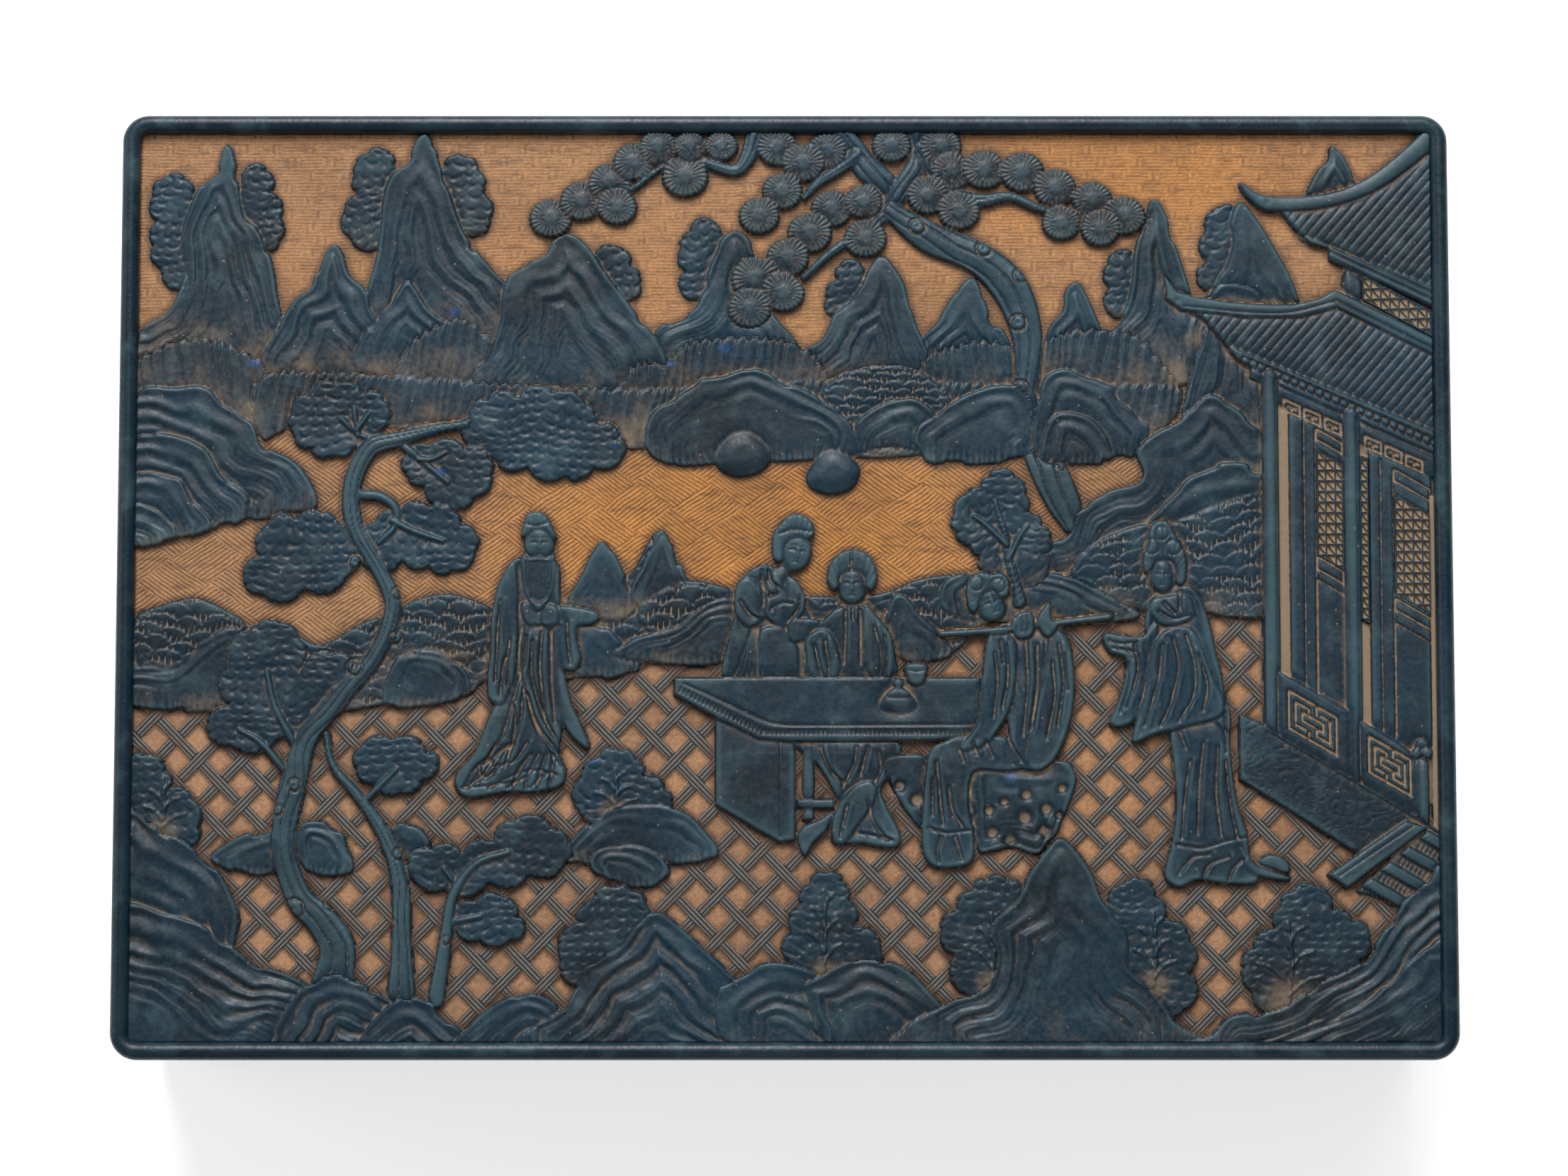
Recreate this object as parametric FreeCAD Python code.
"""Ink stick and stone box: a lift-off cover and a footed base with a fitted insert, a stone and an ink stick.

Both halves are a carcass of mitred boards with a grooved-in panel, coated with two coats of lacquer: a thin
ochre ground coat and a thicker dark coat that is carved through to it. Millimetres, +Z up, the long side along X,
origin at the middle of the plane that the foot stands on.
"""
import math
import os

import FreeCAD
import Part

V = FreeCAD.Vector

# ---------------------------------------------------------------- driving dimensions
LENGTH = 300.0            # over the rim, along X
DEPTH = 213.0             # over the rim, along Y
CORNER_R = 6.0            # plan radius of the outer corners
FOOT_H = 7.0
MOUTH_Z = 41.0            # where the cover meets the base
GROUND_Z = 74.0           # face of the ochre coat on top of the cover
RIM_TOP_Z = 77.0          # crest of the roll round the top

BAND_T = 2.6              # ochre and dark coats together, on the plain bands
GROUND_T = 1.0            # ochre coat on the sides
TOP_GROUND_T = 1.2        # ochre coat on the top
FRET_T = 1.2              # dark coat left standing in the side fields
BOARD_T = 7.0             # base boards
COVER_BOARD_T = 6.6       # cover boards, thinner by the play round the lip
RIM_W = 4.0               # width of the roll, seen from above; its crest is half round
ROLL_TUCK = 1.2           # how far the roll draws in at its lower edge
ROLL_TUCK_H = 4.2         # height over which it draws in
COAT_T = 2.0              # dark coat on the top

TOP_PANEL_T = 6.5
FLOOR_PANEL_T = 6.0
FLOOR_LIFT = 2.0          # the floor panel hangs this far above the lower edge of the boards
TONGUE_T = 3.0            # tongue that a panel carries into the grooves
TONGUE_L = 3.0
MITRE_TONGUE_T = 2.4      # blind tongue inside each mitre
MITRE_TONGUE_L = 2.4
MITRE_TONGUE_STOP = 5.0   # the blind tongue stops this far short of both edges
MITRE_FLAT = 1.6          # distance of the blind tongue from the inner corner

BAND_H = 5.0              # plain bands at the mouth
ROLL_H = 6.5              # how far the roll reaches down the side
SKIRT_H = 6.0             # plain band over the foot
FIELD_GAP = 1.0           # ochre line between a band and the fret panel
FIELD_END = 7.0           # fret panels stop this far from the corners

LIP_T = 3.0
LIP_RISE = 6.0            # above the mouth
LIP_DROP = 6.0            # below the mouth
LIP_CHAMFER = 1.0

FOOT_INSET = 5.0          # from the outer face to the foot
FOOT_W = 9.0
FOOT_COVE = 2.0           # cove worked on the foot's outer upper edge

INSERT_H = 16.0
FIT = 0.2                 # play of the insert in the base
WELL_PLAY = 0.6           # play round the stone and the stick
STONE = (196.0, 136.0, 24.0)
STONE_X = -30.0
STICK = (28.0, 136.0, 13.0)
STICK_X = 104.0
CONTENT_LIFT = 0.3        # the lacquer skin that stone and stick lie on
SCOOP_DROP = 13.0         # finger scoops go this deep into the insert
STONE_SCOOP_R = 17.0
STICK_SCOOP_R = 12.0

# ---------------------------------------------------------------- worked out from them
HALF_X, HALF_Y = LENGTH / 2, DEPTH / 2
CORE_X, CORE_Y = HALF_X - BAND_T, HALF_Y - BAND_T
BASE_IN_X, BASE_IN_Y = CORE_X - BOARD_T, CORE_Y - BOARD_T
COVER_IN_X, COVER_IN_Y = CORE_X - COVER_BOARD_T, CORE_Y - COVER_BOARD_T
BOARD_TOP_Z = GROUND_Z - TOP_GROUND_T
CEILING_Z = BOARD_TOP_Z - TOP_PANEL_T
FLOOR_Z = FOOT_H + FLOOR_LIFT + FLOOR_PANEL_T


# ---------------------------------------------------------------- helpers
def block(x0, y0, z0, x1, y1, z1):
    """Box between two corners."""
    return Part.makeBox(x1 - x0, y1 - y0, z1 - z0, V(x0, y0, z0))


def rounded_rectangle(half_x, half_y, radius, z):
    """Closed wire of a rectangle with rounded corners, in the plane z."""
    edges = []
    for quarter, (sx, sy) in enumerate(((1, 1), (-1, 1), (-1, -1), (1, -1))):
        centre = V(sx * (half_x - radius), sy * (half_y - radius), z)
        start = quarter * math.pi / 2
        points = [centre + V(radius * math.cos(a), radius * math.sin(a), 0)
                  for a in (start, start + math.pi / 4, start + math.pi / 2)]
        edges.append(Part.Arc(*points).toShape())
    sides = [Part.makeLine(edges[i].Vertexes[-1].Point, edges[(i + 1) % 4].Vertexes[0].Point) for i in range(4)]
    return Part.Wire([edge for pair in zip(edges, sides) for edge in pair])


def slab(half_x, half_y, radius, z0, z1):
    """Plate with rounded corners."""
    return Part.Face(rounded_rectangle(half_x, half_y, radius, z0)).extrude(V(0, 0, z1 - z0))


def ring(outer_inset, inner_inset, z0, z1):
    """Band round the box, between two insets from its outer face."""
    outer = slab(HALF_X - outer_inset, HALF_Y - outer_inset, CORNER_R - outer_inset, z0, z1)
    inner = slab(HALF_X - inner_inset, HALF_Y - inner_inset, CORNER_R - inner_inset, z0, z1)
    return outer.cut(inner)


def prism(points, z0, z1):
    """Upright prism on a polygon given by its plan points."""
    wire = Part.makePolygon([V(x, y, z0) for x, y in points + points[:1]])
    return Part.Face(wire).extrude(V(0, 0, z1 - z0))


def export(name, *solids):
    """Writes one sub-part. Several solids become one node."""
    shape = solids[0] if len(solids) == 1 else Part.makeCompound(list(solids))
    if not shape.isValid() or not shape.Solids:
        raise ValueError(name + " is not a valid solid")
    shape.exportStep("parts/" + name + ".step")


# ---------------------------------------------------------------- carcass of mitred boards
def mitred_board(side, in_x, in_y, z0, z1):
    """One wall of a carcass: its ends are cut at 45 degrees, and its outer corners follow the rounded outline."""
    corner_in = {"front": ((-in_x, -in_y), (in_x, -in_y)), "back": ((in_x, in_y), (-in_x, in_y)),
                 "left": ((-in_x, in_y), (-in_x, -in_y)), "right": ((in_x, -in_y), (in_x, in_y))}[side]
    reach = CORE_X - in_x + 1.0
    out = [(x + math.copysign(reach, x), y + math.copysign(reach, y)) for x, y in corner_in]
    board = prism([corner_in[0], corner_in[1], out[1], out[0]], z0, z1)
    outline = slab(CORE_X, CORE_Y, CORNER_R - BAND_T, z0, z1)
    return board.common(outline)


def blind_tongues(in_x, in_y, z0, z1, play):
    """The tongues hidden in the four mitres. They stand on the front and back boards, square to the mitre."""
    tongues = []
    for sx in (-1, 1):
        for sy in (-1, 1):
            along = V(sx, sy, 0) / math.sqrt(2)
            across = V(sx, -sy, 0) / math.sqrt(2)
            foot = V(sx * in_x, sy * in_y, 0) + along * (MITRE_FLAT + MITRE_TONGUE_T / 2)
            half = MITRE_TONGUE_T / 2 + play
            length = MITRE_TONGUE_L + play
            ends = [foot - along * half, foot + along * half,
                    foot + along * half + across * length, foot - along * half + across * length]
            tongues.append(prism([(p.x, p.y) for p in ends],
                                 z0 + MITRE_TONGUE_STOP - play, z1 - MITRE_TONGUE_STOP + play))
    return tongues


def carcass(in_x, in_y, z0, z1, groove_z):
    """The four boards, grooved for a panel whose tongue starts at groove_z."""
    groove = block(-in_x - TONGUE_L, -in_y - TONGUE_L, groove_z, in_x + TONGUE_L, in_y + TONGUE_L, groove_z + TONGUE_T)
    boards = {}
    for side in ("front", "back", "left", "right"):
        board = mitred_board(side, in_x, in_y, z0, z1).cut(groove)
        if side in ("front", "back"):
            sign = -1 if side == "front" else 1
            mine = [t for t in blind_tongues(in_x, in_y, z0, z1, 0.0) if t.CenterOfMass.y * sign > 0]
            board = board.fuse([t.cut(groove) for t in mine]).removeSplitter()
        else:
            board = board.cut(blind_tongues(in_x, in_y, z0, z1, 0.05))
        boards[side] = board
    return boards


def tongued_panel(in_x, in_y, z0, z1, tongue_z):
    """Panel that fills the carcass and carries a tongue all round."""
    play = 0.1
    body = block(-in_x + play, -in_y + play, z0, in_x - play, in_y - play, z1)
    reach_x, reach_y = in_x + TONGUE_L - play, in_y + TONGUE_L - play
    tongue = block(-reach_x, -reach_y, tongue_z, reach_x, reach_y, tongue_z + TONGUE_T)
    return body.fuse(tongue).removeSplitter()


# ---------------------------------------------------------------- lacquer on the sides
def profile_arc(centre_x, centre_z, radius, start, end):
    """Arc in the XZ plane, with its angles in degrees from +X towards +Z."""
    at = [math.radians(start + (end - start) * t) for t in (0.0, 0.5, 1.0)]
    points = [V(centre_x + radius * math.cos(a), 0, centre_z + radius * math.sin(a)) for a in at]
    return Part.Arc(*points).toShape()


def roll_profile():
    """Section of the roll: a half-round crest on a side that draws in below, closed against the boards."""
    inner, crest_r, lower_z = HALF_X - RIM_W, RIM_W / 2, RIM_TOP_Z - ROLL_H
    tuck_z = lower_z + ROLL_TUCK_H
    tuck_r = (ROLL_TUCK ** 2 + ROLL_TUCK_H ** 2) / (2 * ROLL_TUCK)
    tuck_angle = math.degrees(math.asin(ROLL_TUCK_H / tuck_r))
    crest_z = RIM_TOP_Z - crest_r
    lap = HALF_X - BAND_T
    corners = [V(inner, 0, crest_z), V(inner, 0, BOARD_TOP_Z), V(lap, 0, BOARD_TOP_Z), V(lap, 0, lower_z),
               V(HALF_X - ROLL_TUCK, 0, lower_z)]
    edges = [profile_arc(HALF_X - tuck_r, tuck_z, tuck_r, -tuck_angle, 0)]
    edges.append(Part.makeLine(V(HALF_X, 0, tuck_z), V(HALF_X, 0, crest_z)))
    edges.append(profile_arc(HALF_X - crest_r, crest_z, crest_r, 0, 180))
    edges += [Part.makeLine(a, b) for a, b in zip(corners, corners[1:])]
    return Part.Wire(edges)


def roll_rim():
    """The roll round the top: its section, carried round the outline."""
    edges = rounded_rectangle(HALF_X, HALF_Y, CORNER_R, RIM_TOP_Z).Edges
    # The path starts half way along the right side, where the section is square to it.
    start = next(i for i, e in enumerate(edges) if e.CenterOfMass.x > HALF_X - 0.01)
    middle = V(HALF_X, 0, RIM_TOP_Z)
    low, high = sorted((v.Point for v in edges[start].Vertexes), key=lambda p: p.y)
    path = [Part.makeLine(middle, high)] + edges[start + 1:] + edges[:start] + [Part.makeLine(low, middle)]
    return Part.Wire(path).makePipeShell([roll_profile()], True, False)


def fret_panels(z0, z1):
    """The dark coat left standing in the four side fields. The fret is cut into it later."""
    panels = []
    out, back = GROUND_T - BAND_T + FRET_T, GROUND_T - BAND_T
    end_x, end_y = HALF_X - FIELD_END, HALF_Y - FIELD_END
    for sign in (-1, 1):
        y_in, y_out = sorted((sign * (HALF_Y + back), sign * (HALF_Y + out)))
        panels.append(block(-end_x, y_in, z0, end_x, y_out, z1))
        x_in, x_out = sorted((sign * (HALF_X + back), sign * (HALF_X + out)))
        panels.append(block(x_in, -end_y, z0, x_out, end_y, z1))
    return panels


# ---------------------------------------------------------------- base
def foot_rails():
    """Four mitred rails that the box stands on, with a cove under the boards."""
    ox, oy = HALF_X - FOOT_INSET, HALF_Y - FOOT_INSET
    ix, iy = ox - FOOT_W, oy - FOOT_W
    outer = slab(ox, oy, CORNER_R - 2.0, 0, FOOT_H)
    cove = slab(ox + 1, oy + 1, CORNER_R - 1.0, FOOT_H - 2 * FOOT_COVE, FOOT_H)
    cove = cove.cut(slab(ox - FOOT_COVE * 0.6, oy - FOOT_COVE * 0.6, CORNER_R - 3.2, 0, FOOT_H + 1))
    ringed = outer.cut(block(-ix, -iy, -1, ix, iy, FOOT_H + 1)).cut(cove)
    rails = []
    far = 2 * HALF_X
    for x, y in ((0, -1), (0, 1), (-1, 0), (1, 0)):
        if y:
            wedge = prism([(-ix, y * iy), (ix, y * iy), (ix + far, y * (iy + far)), (-ix - far, y * (iy + far))], 0, FOOT_H)
        else:
            wedge = prism([(x * ix, -iy), (x * ix, iy), (x * (ix + far), iy + far), (x * (ix + far), -iy - far)], 0, FOOT_H)
        rails.append(ringed.common(wedge))
    return rails


def lip_strips():
    """Four mitred strips inside the mouth of the base. They stand up and centre the cover."""
    z0, z1 = MOUTH_Z - LIP_DROP, MOUTH_Z + LIP_RISE
    x, y = BASE_IN_X, BASE_IN_Y
    ix, iy = x - LIP_T, y - LIP_T
    strips = []
    for sign in (-1, 1):
        strips.append(prism([(-ix, sign * iy), (ix, sign * iy), (x, sign * y), (-x, sign * y)], z0, z1))
        strips.append(prism([(sign * ix, -iy), (sign * ix, iy), (sign * x, y), (sign * x, -y)], z0, z1))
    crown = Part.makeLoft([Part.makePolygon([V(sx * (x + g), sy * (y + g), z) for sx, sy in
                                             ((-1, -1), (1, -1), (1, 1), (-1, 1), (-1, -1))])
                           for g, z in ((0.0, z1 - LIP_CHAMFER), (-LIP_CHAMFER, z1))], True, True)
    keep = block(-x, -y, z0, x, y, z1 - LIP_CHAMFER).fuse(crown)
    return [strip.common(keep) for strip in strips]


# ---------------------------------------------------------------- insert, stone and stick
def insert_rails():
    """Rails and a divider that make a well for the stone and one for the stick, with finger scoops."""
    x, y = BASE_IN_X - FIT, BASE_IN_Y - FIT
    z0, z1 = FLOOR_Z, FLOOR_Z + INSERT_H
    stone_l, stone_r = STONE_X - STONE[0] / 2 - WELL_PLAY, STONE_X + STONE[0] / 2 + WELL_PLAY
    stick_l, stick_r = STICK_X - STICK[0] / 2 - WELL_PLAY, STICK_X + STICK[0] / 2 + WELL_PLAY
    well_y = STONE[1] / 2 + WELL_PLAY
    rails = {
        "insert_left_rail": block(-x, -y, z0, stone_l, y, z1),
        "insert_right_rail": block(stick_r, -y, z0, x, y, z1),
        "insert_front_rail": block(stone_l, -y, z0, stick_r, -well_y, z1),
        "insert_back_rail": block(stone_l, well_y, z0, stick_r, y, z1),
        "insert_divider": block(stone_r, -well_y, z0, stick_l, well_y, z1),
    }
    floor = z1 - SCOOP_DROP
    for name, sign in (("insert_front_rail", -1), ("insert_back_rail", 1)):
        scoop = Part.makeCylinder(STONE_SCOOP_R, SCOOP_DROP, V(STONE_X, sign * well_y, floor))
        rails[name] = rails[name].cut(scoop)
    for name, at in (("insert_divider", stick_l), ("insert_right_rail", stick_r)):
        scoop = Part.makeCylinder(STICK_SCOOP_R, SCOOP_DROP, V(at, 0, floor))
        rails[name] = rails[name].cut(scoop)
    return rails


def rounded_block(centre_x, centre_y, z0, size, corner, edge):
    """Block with rounded upright corners and softened upper and lower edges."""
    body = slab(size[0] / 2, size[1] / 2, corner, z0, z0 + size[2])
    rounds = [e for e in body.Edges if abs(e.BoundBox.ZLength) < 1e-6]
    body = body.makeFillet(edge, rounds)
    body.translate(V(centre_x, centre_y, 0))
    return body


def ink_stone():
    """Grinding stone: a slab with a border, a grinding face that slopes down, and a pool at its far end."""
    border, face_drop, pool_drop, pool_len = 9.0, 2.0, 11.0, 46.0
    z0 = FLOOR_Z + CONTENT_LIFT
    top = z0 + STONE[2]
    body = rounded_block(STONE_X, 0, z0, STONE, 7.0, 1.2)
    x0, x1 = STONE_X - STONE[0] / 2 + border, STONE_X + STONE[0] / 2 - border
    y1 = STONE[1] / 2 - border
    # side view of the hollow: level at the grinding end, then a curve down into the pool
    side = [
        Part.makeLine(V(x0 + pool_len + 40, -y1, top - face_drop), V(x1, -y1, top - face_drop)),
        Part.makeLine(V(x1, -y1, top - face_drop), V(x1, -y1, top + 1)),
        Part.makeLine(V(x1, -y1, top + 1), V(x0, -y1, top + 1)),
        Part.makeLine(V(x0, -y1, top + 1), V(x0, -y1, top - pool_drop)),
        Part.makeLine(V(x0, -y1, top - pool_drop), V(x0 + pool_len * 0.55, -y1, top - pool_drop)),
        Part.Arc(V(x0 + pool_len * 0.55, -y1, top - pool_drop), V(x0 + pool_len + 4, -y1, top - face_drop - 4.2),
                 V(x0 + pool_len + 40, -y1, top - face_drop)).toShape(),
    ]
    hollow = Part.Face(Part.Wire(side)).extrude(V(0, 2 * y1, 0))
    plan = slab((x1 - x0) / 2, y1, 12.0, z0, top + 1)
    plan.translate(V((x0 + x1) / 2, 0, 0))
    return body.cut(hollow.common(plan))


# ---------------------------------------------------------------- build
def build_cover():
    boards = carcass(COVER_IN_X, COVER_IN_Y, MOUTH_Z, BOARD_TOP_Z, CEILING_Z + 1.5)
    for side, board in boards.items():
        export("cover_" + side + "_board", board)
    export("cover_top_panel", tongued_panel(COVER_IN_X, COVER_IN_Y, CEILING_Z, BOARD_TOP_Z, CEILING_Z + 1.5))
    field_x, field_y = HALF_X - RIM_W, HALF_Y - RIM_W
    export("cover_top_ground", slab(field_x, field_y, CORNER_R - RIM_W, BOARD_TOP_Z, GROUND_Z))
    export("cover_top_carved_coat", slab(field_x, field_y, CORNER_R - RIM_W, GROUND_Z, GROUND_Z + COAT_T))
    export("cover_rim", roll_rim())
    side_top = RIM_TOP_Z - ROLL_H
    band_top = MOUTH_Z + BAND_H
    export("cover_mouth_band", ring(0, BAND_T, MOUTH_Z, band_top))
    export("cover_side_ground", ring(BAND_T - GROUND_T, BAND_T, band_top, side_top))
    export("cover_side_fret", *fret_panels(band_top + FIELD_GAP, side_top - FIELD_GAP))


def build_base():
    floor_z0 = FOOT_H + FLOOR_LIFT
    boards = carcass(BASE_IN_X, BASE_IN_Y, FOOT_H, MOUTH_Z, floor_z0 + 1.5)
    for side, board in boards.items():
        export("base_" + side + "_board", board)
    export("base_floor_panel", tongued_panel(BASE_IN_X, BASE_IN_Y, floor_z0, FLOOR_Z, floor_z0 + 1.5))
    export("base_foot", *foot_rails())
    export("base_locating_lip", *lip_strips())
    skirt_top = FOOT_H + SKIRT_H
    band_bottom = MOUTH_Z - BAND_H
    export("base_skirt_band", ring(0, BAND_T, FOOT_H, skirt_top))
    export("base_mouth_band", ring(0, BAND_T, band_bottom, MOUTH_Z))
    export("base_side_ground", ring(BAND_T - GROUND_T, BAND_T, skirt_top, band_bottom))
    export("base_side_fret", *fret_panels(skirt_top + FIELD_GAP, band_bottom - FIELD_GAP))
    for name, rail in insert_rails().items():
        export(name, rail)


def build_contents():
    export("ink_stone", ink_stone())
    export("ink_stick", rounded_block(STICK_X, 0, FLOOR_Z + CONTENT_LIFT, STICK, 3.0, 1.5))


os.makedirs("parts", exist_ok=True)
build_cover()
build_base()
build_contents()
